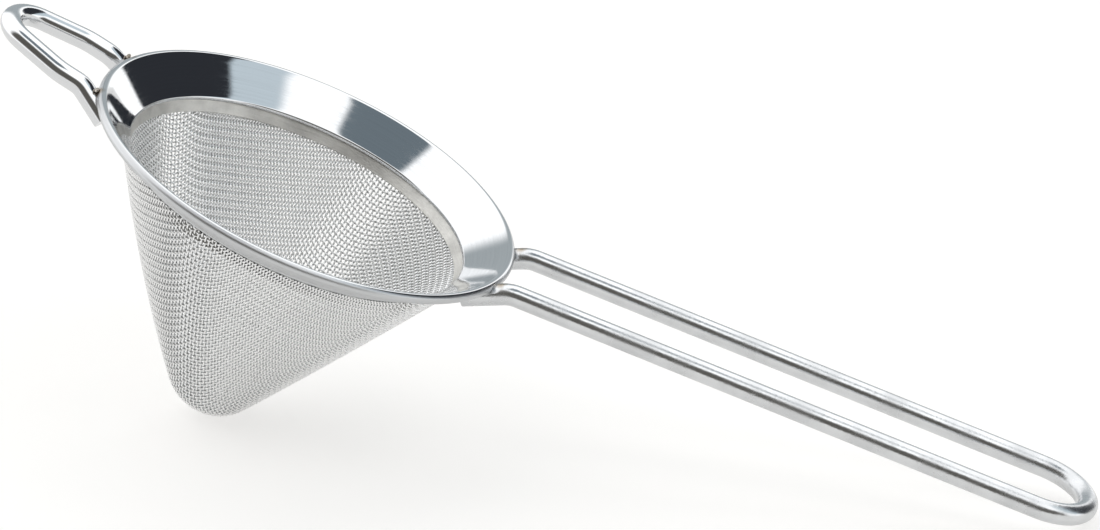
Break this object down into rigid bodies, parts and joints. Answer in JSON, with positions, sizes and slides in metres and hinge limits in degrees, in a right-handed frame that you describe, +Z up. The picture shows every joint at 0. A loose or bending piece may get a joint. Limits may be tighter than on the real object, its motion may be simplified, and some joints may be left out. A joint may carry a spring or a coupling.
{
  "type": "tea strainer",
  "caption": "Conical woven-wire tea strainer with a flared polished rim, a long bent-rod loop handle and a short rest hook opposite it.",
  "frame": {"origin": "centre of the rim's rounded edge, at the middle of that edge's height", "axes": "+X along the handle away from the rim, +Z up out of the mouth along the cone's axis, +Y to the left of the handle seen from above with the handle pointing away"},
  "size_m": [0.2181, 0.082, 0.0646],
  "materials": {
    "polished_steel": "mirror polished stainless steel with fine brush lines round the ring",
    "satin_steel": "dull satin stainless steel",
    "wire_cloth": "plain weave stainless steel wire, bright drawn",
    "rod_steel": "polished stainless steel rod",
    "weld_metal": "small resistance weld beads with brown heat tint"
  },
  "bodies": {
    "root": {"rim_collar": "polished_steel", "clamp_band": "satin_steel", "cloth_cone": "wire_cloth", "handle_rod": "rod_steel", "rest_hook": "rod_steel", "weld_handle_near": "weld_metal", "weld_handle_far": "weld_metal", "weld_hook_near": "weld_metal", "weld_hook_far": "weld_metal"}
  },
  "joints": []
}
